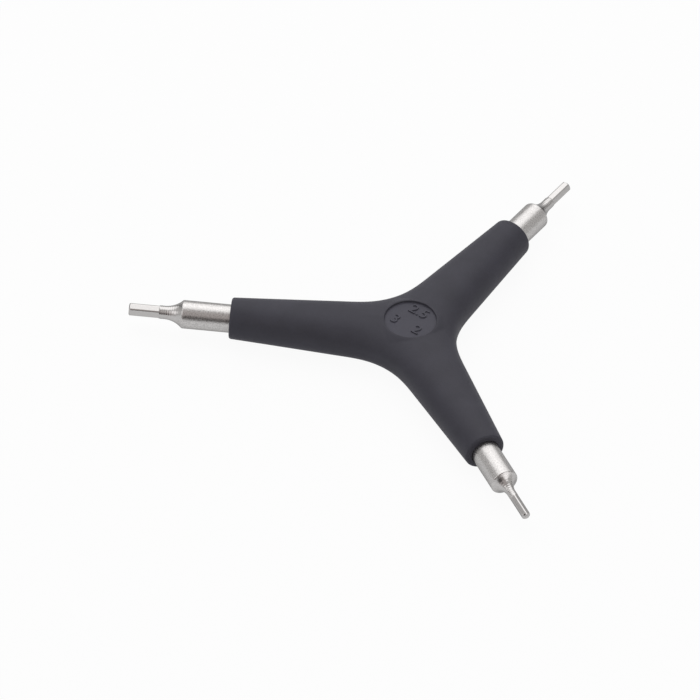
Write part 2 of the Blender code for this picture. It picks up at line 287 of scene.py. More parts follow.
class HexKeyBits(bpy.types.PropertyGroup):
    """Sizes and finish of the steel bits. Triples follow the order 3 mm, 2.5 mm, 2 mm."""

    across_flats: bit_lengths("Across flats", "Hexagon of each bit", (0.003, 0.0025, 0.002))
    hex_length: bit_lengths("Hexagon length", "Full hexagon of each bit", (0.0073, 0.0071, 0.0068))
    corner_roll: FloatVectorProperty(
        name="Corner roll",
        description="Turn of each hexagon about its arm; at 0 a corner points up",
        default=(math.radians(13), math.radians(30), math.radians(5)),
        subtype="EULER",
    )
    corner_ratio: share("Corner ratio", "Turned corner and neck over half the width across flats", 1.1, 1.15)
    corner_softness: length("Corner softness", "Round where a flat meets the turned corner", 0.00004)
    shank_radius: length("Shank radius", "Round shank", 0.0035)
    seat_reach: length("Seat reach", "From the hub axis to the shank's inner end", 0.0328)
    shoulder_reach: bit_lengths(
        "Shoulder reach", "From the hub axis to each shank's outer end", (0.0560, 0.0542, 0.0554)
    )
    shoulder_edge: length("Shoulder edge", "Round between shank and flare", 0.00030)
    flare_radius: bit_lengths(
        "Flare radius", "Hollow curve of each bit from shank to neck", (0.0063, 0.0053, 0.0045)
    )
    ring_pitch: length("Ring pitch", "Pitch of the turned rings on flare and neck", 0.00055)
    ring_depth: length("Ring depth", "Half depth of the turned rings at the neck", 0.000022)
    tip_chamfer: length("Tip chamfer", "Chamfer of the hexagon's end", 0.00035)
    dimple_radius: length("Dimple radius", "Turning centre in the hexagon's end", 0.00030)
    dimple_depth: length("Dimple depth", "Depth of the turning centre", 0.00014)
    runout: length("Run-out", "Over which the flats fade into the neck", 0.0004)
    tang_inner_reach: length("Tang inner reach", "From the hub axis to the tang's inner end", 0.0093)
    tang_half_flats: length("Tang half flats", "Half width across the tang's flats", 0.0020)
    tang_radius: length("Tang radius", "Turned corners of the tang", 0.00225)
    tang_relief: length("Tang relief", "Round length of the tang beside the seat", 0.0006)
    groove_radius: length("Groove radius", "Ring groove that locks the tang", 0.0017)
    groove_setback: length("Groove setback", "From the tang's inner end to the groove", 0.0030)
    groove_width: length("Groove width", "Width of the ring groove", 0.0016)
    colour: colour("Steel colour", "Linear colour of the plated steel", (0.490, 0.479, 0.474))
    edge_tint: colour("Edge tint", "What the steel mirrors at a grazing angle", (0.46, 0.46, 0.46))
    shank_roughness: share("Shank roughness", "Roughness of the blasted shank", 0.29)
    hex_roughness: share("Hexagon roughness", "Roughness of the bright hexagon", 0.19)
    grain: length("Blasted grain", "Width of the blasted grain", 0.00030)
    grain_depth: length("Grain depth", "Depth of the blasted grain", 0.000055)
    turning: length("Turning pitch", "Pitch of the fine turning lines on flare and neck", 0.00014)


class HexKeyCore(bpy.types.PropertyGroup):
    """Finish of the hard core inside the grip."""

    colour: colour("Core colour", "Linear colour of the moulded core", (0.030, 0.030, 0.032))
    roughness: share("Core roughness", "Roughness of the moulded core", 0.50)
    grain: length("Core grain", "Width of the moulded grain", 0.0006)
    grain_depth: length("Core grain depth", "Depth of the moulded grain", 0.00003)


class HexKeyStudio(bpy.types.PropertyGroup):
    """Floor, light and camera."""

    floor_radius: length("Floor radius", "Round floor", 6.0)
    floor_drop: length("Floor drop", "Floor below the land under the hub", 0.00002)
    floor_colour: colour("Floor colour", "Linear colour of the floor", (0.93, 0.93, 0.93))
    floor_glow: share("Floor glow", "How much of the floor is plain white to the eye", 0.94)
    floor_mirrored: share("Floor mirrored", "How much of the floor is plain white in the steel", 0.82)
    ambient: share("Ambient", "Level of the room's light on matt surfaces", 0.40, 2.0)
    box_distance: length("Light distance", "Soft box from the hub", 1.2)
    box_lean: angle("Light lean", "Soft box behind the zenith", 36)
    box_turn: angle("Light turn", "Soft box round to the left", 14)
    box_width: length("Light width", "Soft box across", 1.9)
    box_depth: length("Light depth", "Soft box front to back", 1.6)
    box_spread: angle("Light spread", "Angle over which the soft box shines", 120)
    box_power: FloatProperty(name="Light power", description="Soft box", default=5.85, min=0.0, unit="POWER")
    camera_distance: length("Camera distance", "From the hub", 4.0)
    camera_azimuth: angle("Camera azimuth", "Round the hub; 0 looks along +Y", 3.318)
    camera_elevation: angle("Camera elevation", "Above the floor", 44.077)
    camera_roll: angle("Camera roll", "About the line of sight", -3.091)
    camera_lens: FloatProperty(name="Camera lens", description="Focal length in mm", default=838.4, min=1.0)
    aim_right: FloatProperty(
        name="Aim right", description="Aim right of the hub in the picture", default=-0.0146, unit="LENGTH"
    )
    aim_up: FloatProperty(
        name="Aim up", description="Aim above the hub in the picture", default=-0.003546, unit="LENGTH"
    )


def link(thing):
    """Put an object into the scene."""
    bpy.context.scene.collection.objects.link(thing)
    return thing


def mesh_object(name, points, faces):
    """New object from points and faces."""
    mesh = bpy.data.meshes.new(name)
    mesh.from_pydata([tuple(point) for point in points], [], faces)
    return link(bpy.data.objects.new(name, mesh))


def weld(mesh):
    """Join the points of a mesh that fall together."""
    shape = bmesh.new()
    shape.from_mesh(mesh)
    bmesh.ops.remove_doubles(shape, verts=shape.verts, dist=WELD_DISTANCE)
    shape.to_mesh(mesh)
    shape.free()


def shade(thing):
    """Shade an object smooth between its sharp edges."""
    thing.data.shade_smooth()
    thing.data.set_sharp_from_angle(angle=SMOOTH_ANGLE)


def ring_faces(rings, sides):
    """Quads between neighbouring rings that lie one after another in a point list."""
    faces = []
    for ring in range(rings - 1):
        for i in range(sides):
            near, far = ring * sides, (ring + 1) * sides
            after = (i + 1) % sides
            faces.append((near + after, near + i, far + i, far + after))
    return faces


def cut(target, tool):
    """Take a closed tool away from a closed target, and drop the tool."""
    boolean = target.modifiers.new(tool.name, "BOOLEAN")
    boolean.operation = "DIFFERENCE"
    boolean.solver = "EXACT"
    boolean.object = tool
    evaluated = target.evaluated_get(bpy.context.evaluated_depsgraph_get())
    before = target.data
    target.data = bpy.data.meshes.new_from_object(evaluated)
    target.modifiers.clear()
    bpy.data.meshes.remove(before)
    bpy.data.objects.remove(tool, do_unlink=True)
    if not target.data.polygons:
        raise RuntimeError("a cut left nothing of " + target.name)


def superellipse(angles, exponent):
    """Side and up values of a unit superellipse, with angle 0 straight up."""
    side, up = np.sin(angles), np.cos(angles)
    power = 2 / exponent
    return np.sign(side) * np.abs(side) ** power, np.sign(up) * np.abs(up) ** power


def arm_section(grip, reach, inset, angles):
    """Ring round an arm's axis at a distance from the hub axis, drawn in by an inset."""
    rooted = (grip.mouth_reach - reach) / (grip.mouth_reach - grip.root_reach)
    half_width = grip.mouth_half_width + rooted * (grip.root_half_width - grip.mouth_half_width) - inset
    half_height = grip.mouth_half_height + rooted * (grip.half_height - grip.mouth_half_height) - inset
    exponent = grip.mouth_exponent + rooted * (grip.root_exponent - grip.mouth_exponent)
    side, up = superellipse(angles, exponent)
    return np.stack([np.full_like(side, reach), half_width * side, half_height * up], axis=1)


def hub_section(grip, inset, angles):
    """Ring where an arm meets its two neighbours, and the directions in which its surface leaves."""
    outward, across = math.cos(HALF_ARM_SPACING), math.sin(HALF_ARM_SPACING)
    side, up = superellipse(angles, grip.hub_exponent)
    spread = (grip.crotch_radius - inset) * side
    height = (grip.half_height - inset) * up
    ring = np.stack([np.abs(spread) * outward, spread * across, height], axis=1)
    turn_in = np.clip(grip.middle_ease * side, -1, 1)
    leaving = np.stack([np.full_like(side, across), -turn_in * outward, np.zeros_like(side)], axis=1)
    return ring, leaving


def arm_loft(grip, inset, reach, end, angles, blend_rings, arm_rings):
    """Rings from the hub to the end of an arm whose straight stretch is drawn towards a given reach."""
    hub, leaving = hub_section(grip, inset, angles)
    root = arm_section(grip, grip.root_reach, inset, angles)
    run = (arm_section(grip, reach, inset, angles) - root) / (reach - grip.root_reach)
    pull = grip.blend_fullness * np.linalg.norm(root - hub, axis=1, keepdims=True)
    rings = []
    for part in np.linspace(0, 1, blend_rings, endpoint=False):
        square, cube = part**2, part**3
        rings.append(
            hub * (2 * cube - 3 * square + 1)
            + leaving * pull * (cube - 2 * square + part)
            + root * (3 * square - 2 * cube)
            + run * pull * (cube - square)
        )
    for place in np.linspace(grip.root_reach, end, arm_rings):
        rings.append(arm_section(grip, place, inset, angles))
    return rings


def bore_ring(grip, reach, radius, angles):
    """Round ring about the bit's axis, which lies below the grip's middle."""
    side, up = radius * np.sin(angles), radius * np.cos(angles) - grip.rise
    return np.stack([np.full_like(angles, reach), side, up], axis=1)


def outer_rings(grip, bits, angles):
    """Outside of one arm: hub, arm, rounded rim, end face and the rounded edge of the bore."""
    straight_end = grip.mouth_reach - grip.rim_radius
    rings = arm_loft(grip, 0.0, grip.mouth_reach, straight_end, angles, BLEND_RINGS, ARM_RINGS)
    for turn in np.linspace(0, math.pi / 2, RIM_RINGS + 1)[1:]:
        reach = straight_end + grip.rim_radius * math.sin(turn)
        rings.append(arm_section(grip, reach, grip.rim_radius * (1 - math.cos(turn)), angles))
    bore = bits.shank_radius + grip.bore_clearance
    inner = bore_ring(grip, grip.mouth_reach, bore + grip.bore_edge, angles)
    rim = rings[-1]
    for part in np.linspace(0, 1, FACE_RINGS + 1)[1:]:
        rings.append(rim + part * (inner - rim))
    for turn in np.linspace(0, math.pi / 2, BORE_EDGE_RINGS + 1)[1:]:
        reach = grip.mouth_reach - grip.bore_edge * (1 - math.cos(turn))
        rings.append(bore_ring(grip, reach, bore + grip.bore_edge * (1 - math.sin(turn)), angles))
    return rings


def inner_rings(grip, bits, angles):
    """Inside of one arm: the bore down to the seat, then the room for the core back to the hub."""
    bore = bits.shank_radius + grip.bore_clearance
    bore_start = grip.mouth_reach - grip.bore_edge
    places = np.linspace(bore_start, bits.seat_reach, BORE_RINGS + 1)[1:]
    rings = [bore_ring(grip, reach, bore, angles) for reach in places]
    room = arm_loft(
        grip, grip.skin_wall, bits.seat_reach, bits.seat_reach, angles, CAVITY_BLEND_RINGS, CAVITY_ARM_RINGS
    )
    return rings + room[::-1]


def middle_height(grip):
    """Height of the grip's middle above the land."""
    return AXIS_HEIGHT + grip.rise


def soft_land(grip, points):
    """Flatten the underside at height 0 with a soft edge."""
    height = points[:, 2]
    points[:, 2] = (height + np.sqrt(height**2 + grip.land_softness**2)) / 2


def raise_pad(grip, points):
    """Raise the top of the hub to a flat round pad where the skin between two arms lies lower."""
    radius = np.hypot(points[:, 0], points[:, 1])
    past = radius - grip.pad_radius
    run = (past + np.sqrt(past**2 + grip.pad_edge**2)) / 2
    pad = middle_height(grip) + grip.half_height - run * math.tan(grip.pad_slope)
    height = points[:, 2]
    near = (radius < grip.pad_reach) & (height > middle_height(grip))
    points[:, 2] = np.where(near, np.maximum(height, pad), height)


def grip_skin(grip, bits):
    """Closed skin of three arms: each is one sleeve that turns in at its mouth and comes back to the hub."""
    angles = np.linspace(0, math.tau, GRIP_SIDES, endpoint=False)
    outer, inner = outer_rings(grip, bits, angles), inner_rings(grip, bits, angles)
    lift = (0, 0, middle_height(grip))
    points, faces = [], []
    for arm_angle in ARM_ANGLES:
        turn = np.array(Matrix.Rotation(arm_angle, 3, "Z"))
        shell = np.concatenate(outer) @ turn.T + lift
        soft_land(grip, shell)
        raise_pad(grip, shell)
        room = np.concatenate(inner) @ turn.T + lift
        start = len(points)
        points.extend(shell)
        points.extend(room)
        sleeve = ring_faces(len(outer) + len(inner), GRIP_SIDES)
        faces.extend(tuple(start + corner for corner in face) for face in sleeve)
    skin = mesh_object("grip_skin", points, faces)
    weld(skin.data)
    return skin


def recess_section(grip, floor, edge):
    """Outline of the recess at one place, as (radius, height) from its floor up past the skin's edge."""
    wall = edge - floor
    fillet = min(grip.recess_fillet, wall / FILLET_PARTS)
    lip = min(grip.recess_lip, wall / LIP_PARTS)
    radius = grip.recess_radius
    outline = []
    for turn in np.linspace(0, math.pi / 2, FILLET_RINGS):
        outline.append((radius - fillet * (1 - math.sin(turn)), floor + fillet * (1 - math.cos(turn))))
    for turn in np.linspace(0, LIP_SWEEP, FILLET_RINGS):
        outline.append((radius + lip * (1 - math.cos(turn)), edge - lip * (1 - math.sin(turn))))
    last_radius, last_height = outline[-1]
    rise = LIP_OVERRUN / math.tan(LIP_SWEEP)
    outline.append((last_radius + LIP_OVERRUN, last_height + rise))
    outline.append((last_radius + LIP_OVERRUN, middle_height(grip) + grip.half_height + TOOL_HEADROOM))
    return outline


def recess_tool(grip, skin):
    """Closed tool for the hub's recess, with a rounded lip that follows the skin."""
    surface = BVHTree.FromObject(skin, bpy.context.evaluated_depsgraph_get())
    top = middle_height(grip) + grip.half_height
    floor = top - grip.recess_depth
    sections = []
    for turn in np.linspace(0, math.tau, RECESS_SIDES, endpoint=False):
        way = Vector((math.cos(turn), math.sin(turn), 0.0))
        above = way * (grip.recess_radius + grip.recess_lip) + Vector((0, 0, top + TOOL_HEADROOM))
        edge = surface.ray_cast(above, Vector((0, 0, -1)))[0]
        if edge is None:
            raise RuntimeError("the hub's recess reaches past the skin")
        outline = recess_section(grip, floor, edge.z)
        sections.append([way * radius + Vector((0, 0, height)) for radius, height in outline])
    rings = list(zip(*sections))
    points = [point for ring in rings for point in ring]
    faces = [face[::-1] for face in ring_faces(len(rings), RECESS_SIDES)]
    faces.append(tuple(range(RECESS_SIDES))[::-1])
    faces.append(tuple(range(len(points) - RECESS_SIDES, len(points))))
    return mesh_object("recess_tool", points, faces)


def size_mark(grip, number, arm_angle):
    """Raised number on the recess floor beside its own arm, upright when the 2.5 mm arm points away."""
    font = bpy.data.curves.new("size_mark", "FONT")
    font.body = number
    font.size = grip.mark_height
    font.align_x = "CENTER"
    font.align_y = "CENTER"
    font.extrude = grip.mark_relief
    mark = link(bpy.data.objects.new("size_mark", font))
    floor = middle_height(grip) + grip.half_height - grip.recess_depth
    way = Vector((math.cos(arm_angle), math.sin(arm_angle), 0.0))
    upright = Matrix.Rotation(ARM_ANGLES[UPRIGHT_ARM] - math.pi / 2, 4, "Z")
    mark.matrix_world = Matrix.Translation(way * grip.mark_reach + Vector((0, 0, floor))) @ upright
    bpy.context.view_layer.update()
    mesh = bpy.data.meshes.new_from_object(mark.evaluated_get(bpy.context.evaluated_depsgraph_get()))
    mesh.transform(mark.matrix_world)
    bpy.data.objects.remove(mark, do_unlink=True)
    weld(mesh)
    return link(bpy.data.objects.new("size_mark", mesh))


def smaller(first, second, softness):
    """Lesser of two values, with a soft change from one to the other."""
    near = np.maximum(softness - np.abs(first - second), 0.0) / softness
    return np.minimum(first, second) - near**2 * softness / 4


def hexagon_stations(bits, tip, hex_start, flat, neck):
    """Stations of the turning centre, the chamfer, the hexagon and the run-out of its flats."""
    stations = []
    for deep, wide in DIMPLE_OUTLINE:
        stations.append((tip - bits.dimple_depth * deep, bits.dimple_radius * wide, NO_FLATS))
    for part in np.linspace(0, 1, CHAMFER_RINGS):
        drawn_in = bits.tip_chamfer * (1 - part)
        stations.append((tip - bits.tip_chamfer * part, neck - drawn_in, flat))
    for height in np.linspace(tip - bits.tip_chamfer, hex_start, HEX_RINGS + 1)[1:]:
        stations.append((height, neck, flat))
    for part in np.linspace(0, 1, RUNOUT_RINGS + 1)[1:]:
        opened = RUNOUT_OPENING * (neck - flat) * part**2
        stations.append((hex_start - bits.runout * part, neck, flat + opened))
    return stations


def turned_ring(bits, place):
    """Rise or fall of the turned rings at a place along a bit."""
    return bits.ring_depth * math.sin(math.tau * place / bits.ring_pitch)


def flare_stations(bits, hollow, shoulder, neck_end, neck):
    """Stations of the neck and the hollow flare, with turned rings that fade out towards the shank."""
    flare_turn = math.acos(1 - (bits.shank_radius - neck) / hollow)
    neck_start = shoulder + hollow * math.sin(flare_turn)
    if neck_end < neck_start:
        raise RuntimeError("the hexagon is too long for its neck")
    stations = []
    for height in np.linspace(neck_end, neck_start, NECK_RINGS + 1)[1:]:
        stations.append((height, neck + turned_ring(bits, height - neck_end), NO_FLATS))
    last_turn = flare_turn - bits.shoulder_edge / hollow
    for turn in np.linspace(0, last_turn, FLARE_RINGS + 1)[1:]:
        height = neck_start - hollow * math.sin(turn)
        ring = turned_ring(bits, height - neck_end) * (1 - turn / last_turn)
        stations.append((height, neck + hollow * (1 - math.cos(turn)) + ring, NO_FLATS))
    return stations


def shank_stations(bits, shoulder, flare_height, flare_radius):
    """Stations of the rounded shoulder, from the end of the flare, and of the shank down to its seat."""
    stations = []
    shank_end = shoulder - bits.shoulder_edge
    for part in np.linspace(0, 1, SHOULDER_RINGS + 1)[1:]:
        first, middle, last = (1 - part) ** 2, 2 * part * (1 - part), part**2
        height = first * flare_height + middle * shoulder + last * shank_end
        radius = first * flare_radius + (middle + last) * bits.shank_radius
        stations.append((height, radius, NO_FLATS))
    for height in np.linspace(shank_end, 0, SHANK_RINGS + 1)[1:]:
        stations.append((height, bits.shank_radius, NO_FLATS))
    return stations


def tang_stations(bits):
    """Stations of the keyed tang with its ring groove, from the seat inwards."""
    end = bits.tang_inner_reach - bits.seat_reach
    groove_inner = end + bits.groove_setback
    groove_outer = groove_inner + bits.groove_width
    flats = bits.tang_half_flats
    stations = [(0.0, bits.tang_radius, NO_FLATS), (-bits.tang_relief, bits.tang_radius, NO_FLATS)]
    for height in np.linspace(-bits.tang_relief, groove_outer, TANG_RINGS):
        stations.append((height, bits.tang_radius, flats))
    stations.append((groove_outer, bits.groove_radius, flats))
    stations.append((groove_inner, bits.groove_radius, flats))
    for height in np.linspace(groove_inner, end, TANG_RINGS):
        stations.append((height, bits.tang_radius, flats))
    return stations


def bit_stations(bits, index):
    """Stations of one bit from tip to tang.

    A station has a height above the seat, a turned radius and a half width across flats.
    """
    flat = bits.across_flats[index] / 2
    neck = flat * bits.corner_ratio
    tip = TIP_REACHES[index] - bits.seat_reach
    hex_start = tip - bits.hex_length[index]
    shoulder = bits.shoulder_reach[index] - bits.seat_reach
    hexagon = hexagon_stations(bits, tip, hex_start, flat, neck)
    flare = flare_stations(bits, bits.flare_radius[index], shoulder, hex_start - bits.runout, neck)
    flare_height, flare_radius, _ = flare[-1]
    shank = shank_stations(bits, shoulder, flare_height, flare_radius)
    return hexagon + flare + shank + tang_stations(bits)


def corner_angles():
    """Angles round a bit, close together at the corners of its hexagon."""
    around = []
    for corner in range(HEX_CORNERS):
        middle = math.tau * corner / HEX_CORNERS
        around += [middle - step for step in CORNER_STEPS[-2:0:-1]]
        around += [middle + step for step in CORNER_STEPS]
    return np.array(around)


def steel_bit(bits, index):
    """One closed bit along its own Z with the seat at height 0, laid on its arm."""
    angles = corner_angles()
    from_flat = np.mod(angles, math.tau / HEX_CORNERS) - math.pi / HEX_CORNERS
    stations = bit_stations(bits, index)
    points, bright, along = [], [], []
    neck = bits.across_flats[index] / 2 * bits.corner_ratio
    for height, turned, flats in stations:
        radius = smaller(np.full_like(angles, turned), flats / np.cos(from_flat), bits.corner_softness)
        heights = np.full_like(angles, height)
        points.extend(np.stack([radius * np.cos(angles), radius * np.sin(angles), heights], axis=1))
        drawn_in = (bits.shank_radius - turned) / (bits.shank_radius - neck) if height > 0 else 0.0
        bright.extend([min(1.0, drawn_in)] * len(angles))
        along.extend([height] * len(angles))
    sides = len(angles)
    faces = ring_faces(len(stations), sides)
    faces.append(tuple(range(sides)))
    faces.append(tuple(range(len(points) - sides, len(points)))[::-1])
    bit = mesh_object(BIT_NODES[index].replace("hex", "steel"), points, faces)
    for name, values in (("bright", bright), ("along", along)):
        attribute = bit.data.attributes.new(name, "FLOAT", "POINT")
        attribute.data.foreach_set("value", np.array(values, np.float32))
    weld(bit.data)
    bit.data.transform(
        Matrix.Rotation(ARM_ANGLES[index], 4, "Z")
        @ Matrix.Translation((bits.seat_reach, 0, AXIS_HEIGHT))
        @ Matrix.Rotation(math.pi / 2, 4, "Y")
        @ Matrix.Rotation(bits.corner_roll[index], 4, "Z")
    )
    return bit


def add_node(tree, kind, inputs=None, **settings):
    """New shader node with its settings, and each named input set to a value or fed from an output."""
    made = tree.nodes.new(kind)
    for name, value in settings.items():
        setattr(made, name, value)
    for socket, value in (inputs or {}).items():
        if isinstance(value, bpy.types.NodeSocket):
            tree.links.new(value, made.inputs[socket])
        else:
            made.inputs[socket].default_value = value
    return made


def calculate(tree, operation, first, second):
    """Result of a Math node on two values."""
    return add_node(tree, "ShaderNodeMath", {0: first, 1: second}, operation=operation).outputs[0]


def noise(tree, place, width, detail, roughness=0.5):
    """Noise with features of a given width."""
    inputs = {"Vector": place, "Scale": 1 / width, "Detail": detail, "Roughness": roughness}
    return add_node(tree, "ShaderNodeTexNoise", inputs).outputs["Fac"]


def remap(tree, value, low, high, from_low=0.0, from_high=1.0):
    """Value carried from one range to another and held inside it."""
    inputs = {"Value": value, "From Min": from_low, "From Max": from_high, "To Min": low, "To Max": high}
    return add_node(tree, "ShaderNodeMapRange", inputs).outputs["Result"]


def shades(tree, value, base, factors):
    """Colour between a darker and a lighter shade of a base colour, by a value from 0 to 1."""
    ramp = add_node(tree, "ShaderNodeValToRGB", {"Fac": value})
    for element, factor in zip(ramp.color_ramp.elements, factors):
        element.color = (*(min(1.0, part * factor) for part in base), 1.0)
    return ramp.outputs["Color"]


def add_bump(tree, shader, height, strength, depth):
    """Bump on a shader from a height between 0 and 1 that stands for a depth."""
    bump = add_node(tree, "ShaderNodeBump", {"Height": height, "Strength": strength, "Distance": depth})
    tree.links.new(bump.outputs["Normal"], shader.inputs["Normal"])


def node_material(name):
    """New material and its node tree."""
    material = bpy.data.materials.new(name)
    material.use_nodes = True
    return material, material.node_tree


def surface_material(name):
    """New material with its node tree, its Principled shader and its Object coordinates."""
    material, tree = node_material(name)
    shader = tree.nodes["Principled BSDF"]
    place = add_node(tree, "ShaderNodeTexCoord").outputs["Object"]
    return material, tree, shader, place


def recess_mask(tree, place, grip):
    """1 in the round of the hub's recess and 0 elsewhere."""
    split = add_node(tree, "ShaderNodeSeparateXYZ", {"Vector": place}).outputs
    level = add_node(tree, "ShaderNodeCombineXYZ", {"X": split["X"], "Y": split["Y"]}).outputs[0]
    from_hub = add_node(tree, "ShaderNodeVectorMath", {0: level}, operation="LENGTH").outputs["Value"]
    inside = calculate(tree, "LESS_THAN", from_hub, grip.recess_radius)
    high = calculate(tree, "GREATER_THAN", split["Z"], AXIS_HEIGHT)
    return calculate(tree, "MULTIPLY", inside, high)


def rubber_material(grip):
    """Soft-touch rubber: fine moulded grain, a faint bloom, and a smoother floor in the hub's recess whose
    colour is painted lighter.
    """
    material, tree, shader, place = surface_material("soft_rubber")
    recess = recess_mask(tree, place, grip)
    bloom = noise(tree, place, BLOOM_WIDTH, detail=4.0)
    speck = noise(tree, place, grip.grain * SPECK_GRAINS, detail=2.0)
    mottle = calculate(tree, "ADD", bloom, calculate(tree, "MULTIPLY", speck, SPECK_WEIGHT))
    tone = remap(tree, mottle, *MOTTLE_TONES, *MOTTLE_RANGE)
    # Painted light: the colour in the recess is raised to stand in for sheen and to offset the recess wall's
    # shade
    lighter = calculate(tree, "ADD", tone, calculate(tree, "MULTIPLY", recess, RECESS_PAINTED_LIGHT))
    tree.links.new(shades(tree, lighter, grip.colour, RUBBER_SHADES), shader.inputs["Base Color"])
    rough = calculate(tree, "ADD", remap(tree, speck, -RUBBER_PATCHES, RUBBER_PATCHES), grip.roughness)
    smoother = calculate(tree, "MULTIPLY", recess, RECESS_SMOOTHER)
    tree.links.new(calculate(tree, "SUBTRACT", rough, smoother), shader.inputs["Roughness"])
    grain = noise(tree, place, grip.grain, detail=3.0, roughness=0.6)
    add_bump(tree, shader, grain, remap(tree, recess, *RUBBER_BUMPS), grip.grain_depth)
    shader.inputs["Specular IOR Level"].default_value = RUBBER_SPECULAR
    return material


def turning_lines(tree, bits):
    """Fine lines round a bit, one pitch apart along it."""
    along = add_node(tree, "ShaderNodeAttribute", attribute_name="along").outputs["Fac"]
    inputs = {
        "Vector": add_node(tree, "ShaderNodeCombineXYZ", {"Z": along}).outputs[0],
        "Scale": WAVE_PERIOD / bits.turning,
        "Distortion": LINE_WAVER,
        "Detail": 1.0,
    }
    return add_node(tree, "ShaderNodeTexWave", inputs, bands_direction="Z").outputs["Fac"]


def steel_material(bits):
    """Plated steel: fine-blasted on the shank, bright on the hexagon with its colour painted darker there to
    dim its highlights, turning lines on flare and neck.
    """
    material, tree, shader, place = surface_material("satin_steel")
    bright = add_node(tree, "ShaderNodeAttribute", attribute_name="bright").outputs["Fac"]
    dull = calculate(tree, "SUBTRACT", 1.0, bright)
    grain = noise(tree, place, bits.grain, detail=4.0, roughness=0.65)
    speckle = remap(tree, grain, -SPECKLE_TONE, SPECKLE_TONE, *SPECKLE_RANGE)
    speckled = calculate(tree, "MULTIPLY", speckle, remap(tree, dull, HEXAGON_SPECKLE, 1.0))
    # Painted shade: the hexagon's tone is lowered to dim its mirrored highlights
    tone = calculate(tree, "ADD", speckled, remap(tree, bright, *HEXAGON_PAINTED_DIM_TONES, *BRIGHT_RANGE))
    tree.links.new(shades(tree, tone, bits.colour, STEEL_SHADES), shader.inputs["Base Color"])
    smooth = remap(tree, bright, bits.shank_roughness, bits.hex_roughness)
    patchy = calculate(tree, "MULTIPLY", remap(tree, grain, -STEEL_PATCHES, STEEL_PATCHES), dull)
    tree.links.new(calculate(tree, "ADD", smooth, patchy), shader.inputs["Roughness"])
    between = calculate(tree, "MULTIPLY", calculate(tree, "MULTIPLY", bright, dull), LINE_WEIGHT)
    lines = calculate(tree, "MULTIPLY", turning_lines(tree, bits), between)
    relief = calculate(tree, "ADD", calculate(tree, "MULTIPLY", grain, dull), lines)
    add_bump(tree, shader, relief, STEEL_BUMP, bits.grain_depth)
    shader.inputs["Metallic"].default_value = 1.0
    shader.inputs["Specular Tint"].default_value = (*bits.edge_tint, 1.0)
    return material


def core_material(core):
    """Plain moulded plastic with faint flow marks."""
    material, tree, shader, place = surface_material("moulded_core")
    flow = noise(tree, place, core.grain * FLOW_GRAINS, detail=3.0)
    grain = noise(tree, place, core.grain, detail=2.0)
    tree.links.new(shades(tree, flow, core.colour, CORE_SHADES), shader.inputs["Base Color"])
    rough = calculate(tree, "ADD", remap(tree, grain, -CORE_PATCHES, CORE_PATCHES), core.roughness)
    tree.links.new(rough, shader.inputs["Roughness"])
    add_bump(tree, shader, grain, CORE_BUMP, core.grain_depth)
    return material


def ways_of_seeing(tree):
    """Two values: 1 for what the camera shows, and 1 for what a mirror or a glass shows."""
    path = add_node(tree, "ShaderNodeLightPath").outputs
    mirrored = calculate(tree, "MAXIMUM", path["Is Glossy Ray"], path["Is Transmission Ray"])
    return path["Is Camera Ray"], mirrored


def floor_material(studio):
    """Pale matt floor that looks white and still keeps a soft shadow."""
    material, tree = node_material("white_floor")
    tree.nodes.clear()
    matt = add_node(tree, "ShaderNodeBsdfDiffuse", {"Color": (*studio.floor_colour, 1.0)})
    white = add_node(tree, "ShaderNodeEmission", {"Color": (1, 1, 1, 1), "Strength": 1.0})
    direct, mirrored = ways_of_seeing(tree)
    direct_glow = calculate(tree, "MULTIPLY", direct, studio.floor_glow)
    mirrored_glow = calculate(tree, "MULTIPLY", mirrored, studio.floor_mirrored)
    glow = calculate(tree, "MAXIMUM", direct_glow, mirrored_glow)
    mix = add_node(tree, "ShaderNodeMixShader", {0: glow, 1: matt.outputs[0], 2: white.outputs[0]})
    add_node(tree, "ShaderNodeOutputMaterial", {"Surface": mix.outputs[0]})
    return material


def cloth_material(cloth):
    """Glowing cloth with faint clouds."""
    material, tree = node_material(cloth.name)
    tree.nodes.clear()
    place = add_node(tree, "ShaderNodeTexCoord").outputs["Object"]
    cloud = noise(tree, place, CLOUD_WIDTH, detail=3.0)
    tint = shades(tree, cloud, cloth.colour, CLOUD_SHADES)
    glow = add_node(tree, "ShaderNodeEmission", {"Color": tint, "Strength": cloth.strength})
    add_node(tree, "ShaderNodeOutputMaterial", {"Surface": glow.outputs[0]})
    return material


def make_floor(studio):
    """Round floor under the key."""
    turns = np.linspace(0, math.tau, FLOOR_SIDES, endpoint=False)
    rim = [Vector((math.cos(turn), math.sin(turn), 0.0)) * studio.floor_radius for turn in turns]
    floor = mesh_object("floor", rim, [tuple(range(FLOOR_SIDES))])
    floor.location.z = -studio.floor_drop
    floor.data.materials.append(floor_material(studio))
    return floor


def make_cloth(cloth):
    """One cloth for the steel to mirror; the camera and the light on matt surfaces pass through it."""
    points, faces = [], []
    first, last = cloth.middle - cloth.half_turn, cloth.middle + cloth.half_turn
    for lift in np.radians(np.linspace(cloth.low, cloth.high, CLOTH_STEPS)):
        for turn in np.radians(np.linspace(first, last, CLOTH_STEPS)):
            way = Vector((math.sin(turn) * math.cos(lift), -math.cos(turn) * math.cos(lift), math.sin(lift)))
            points.append(way * cloth.radius)
    for row in range(CLOTH_STEPS - 1):
        for column in range(CLOTH_STEPS - 1):
            corner = row * CLOTH_STEPS + column
            faces.append((corner, corner + 1, corner + CLOTH_STEPS + 1, corner + CLOTH_STEPS))
    sheet = mesh_object(cloth.name, points, faces)
    sheet.visible_camera = False
    sheet.visible_diffuse = False
    sheet.visible_shadow = False
    sheet.data.materials.append(cloth_material(cloth))
    sheet.data.shade_smooth()
    return sheet


